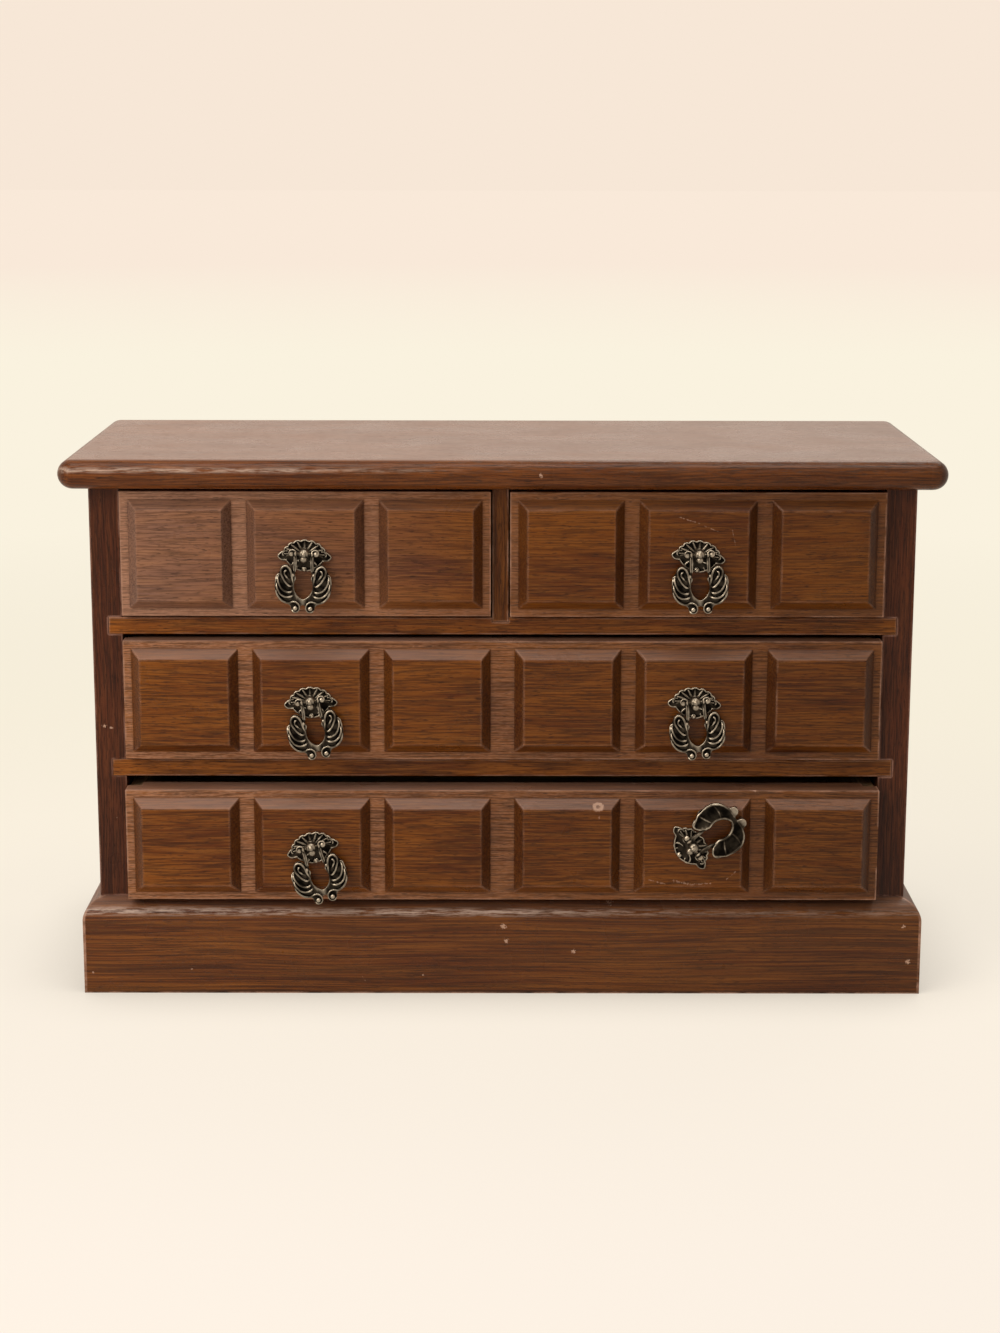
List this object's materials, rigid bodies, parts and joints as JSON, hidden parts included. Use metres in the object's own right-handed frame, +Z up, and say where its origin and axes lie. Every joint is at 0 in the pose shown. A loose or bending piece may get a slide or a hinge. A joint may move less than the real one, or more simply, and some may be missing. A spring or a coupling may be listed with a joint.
{
  "type": "jewelry chest",
  "caption": "Small wooden jewelry chest with rows of raised-panel drawers, hanging cast ring pulls, an overhanging rounded top and a moulded plinth.",
  "frame": {"origin": "on the surface that the chest stands on, in the middle of its whole outline from the back to the pulls of the bottom drawer", "axes": "+X to the chest's right as seen from the front, +Y to the back, +Z up"},
  "size_m": [0.38, 0.1647, 0.2375],
  "materials": {
    "stained_wood": "red-brown stain under satin varnish",
    "stained_side_wood": "darker red-brown stain under satin varnish",
    "plain_wood": "unfinished pale hardwood",
    "panel_board": "thin brown board, unfinished",
    "felt": "dark red felt",
    "antique_pewter": "cast zinc with a dark antique pewter plating, worn bright on the high spots",
    "nut_steel": "dull zinc-plated steel"
  },
  "bodies": {
    "case": {"top_board": "stained_wood", "side_panel_left": "stained_side_wood", "side_panel_right": "stained_side_wood", "back_panel": "panel_board", "bottom_board": "panel_board", "rail_upper": "stained_wood", "rail_lower": "stained_wood", "dust_panel_upper": "panel_board", "dust_panel_lower": "panel_board", "center_divider": "stained_wood", "plinth_front": "stained_wood", "plinth_left": "stained_wood", "plinth_right": "stained_wood", "plinth_back": "stained_wood", "corner_blocks": "plain_wood", "top_dowels": "plain_wood"},
    "drawer_top_left": {"drawer_top_left_front": "stained_wood", "drawer_top_left_side_left": "plain_wood", "drawer_top_left_side_right": "plain_wood", "drawer_top_left_back": "plain_wood", "drawer_top_left_bottom": "panel_board", "drawer_top_left_lining": "felt", "pull_plate_top_left": "antique_pewter", "pull_posts_top_left": "antique_pewter", "pull_nuts_top_left": "nut_steel"},
    "drawer_top_right": {"drawer_top_right_front": "stained_wood", "drawer_top_right_side_left": "plain_wood", "drawer_top_right_side_right": "plain_wood", "drawer_top_right_back": "plain_wood", "drawer_top_right_bottom": "panel_board", "drawer_top_right_lining": "felt", "pull_plate_top_right": "antique_pewter", "pull_posts_top_right": "antique_pewter", "pull_nuts_top_right": "nut_steel"},
    "drawer_middle": {"drawer_middle_front": "stained_wood", "drawer_middle_side_left": "plain_wood", "drawer_middle_side_right": "plain_wood", "drawer_middle_back": "plain_wood", "drawer_middle_bottom": "panel_board", "drawer_middle_lining": "felt", "pull_plate_middle_left": "antique_pewter", "pull_plate_middle_right": "antique_pewter", "pull_posts_middle": "antique_pewter", "pull_nuts_middle": "nut_steel"},
    "drawer_bottom": {"drawer_bottom_front": "stained_wood", "drawer_bottom_side_left": "plain_wood", "drawer_bottom_side_right": "plain_wood", "drawer_bottom_back": "plain_wood", "drawer_bottom_bottom": "panel_board", "drawer_bottom_lining": "felt", "pull_plate_bottom_left": "antique_pewter", "pull_plate_bottom_right": "antique_pewter", "pull_posts_bottom": "antique_pewter", "pull_nuts_bottom": "nut_steel"},
    "drop_top_left": {"pull_drop_top_left": "antique_pewter"},
    "drop_top_right": {"pull_drop_top_right": "antique_pewter"},
    "drop_middle_left": {"pull_drop_middle_left": "antique_pewter"},
    "drop_middle_right": {"pull_drop_middle_right": "antique_pewter"},
    "drop_bottom_left": {"pull_drop_bottom_left": "antique_pewter"},
    "drop_bottom_right": {"pull_drop_bottom_right": "antique_pewter"}
  },
  "joints": [
    {"name": "drawer_top_left_slide", "type": "slide", "parent": "case", "child": "drawer_top_left", "axis": [0, -1, 0], "range_m": [-0.004, 0.086]},
    {"name": "drawer_top_right_slide", "type": "slide", "parent": "case", "child": "drawer_top_right", "axis": [0, -1, 0], "range_m": [-0.005, 0.085]},
    {"name": "drawer_middle_slide", "type": "slide", "parent": "case", "child": "drawer_middle", "axis": [0, -1, 0], "range_m": [-0.005, 0.085]},
    {"name": "drawer_bottom_slide", "type": "slide", "parent": "case", "child": "drawer_bottom", "axis": [0, -1, 0], "range_m": [-0.01, 0.08]},
    {"name": "pull_top_left_hinge", "type": "hinge", "parent": "drawer_top_left", "child": "drop_top_left", "pos_m": [-0.08475, -0.07345, 0.19805], "axis": [-0.9994, 0, 0.0349], "range_deg": [-6.5, 186.5]},
    {"name": "pull_top_right_hinge", "type": "hinge", "parent": "drawer_top_right", "child": "drop_top_right", "pos_m": [0.08375, -0.07445, 0.19805], "axis": [-0.9994, 0, -0.0349], "range_deg": [-6.5, 186.5]},
    {"name": "pull_middle_left_hinge", "type": "hinge", "parent": "drawer_middle", "child": "drop_middle_left", "pos_m": [-0.083, -0.07445, 0.13385], "axis": [-0.9877, 0, -0.1564], "range_deg": [-6.5, 186.5]},
    {"name": "pull_middle_right_hinge", "type": "hinge", "parent": "drawer_middle", "child": "drop_middle_right", "pos_m": [0.083, -0.07445, 0.13385], "axis": [-0.9962, 0, -0.0872], "range_deg": [-6.5, 186.5]},
    {"name": "pull_bottom_left_hinge", "type": "hinge", "parent": "drawer_bottom", "child": "drop_bottom_left", "pos_m": [-0.083, -0.07945, 0.0701], "axis": [-0.9659, 0, -0.2588], "range_deg": [-6.5, 186.5]},
    {"name": "pull_bottom_right_hinge", "type": "hinge", "parent": "drawer_bottom", "child": "drop_bottom_right", "pos_m": [0.083, -0.07945, 0.0701], "axis": [-0.5736, 0, 0.8192], "range_deg": [-193, 0]}
  ]
}
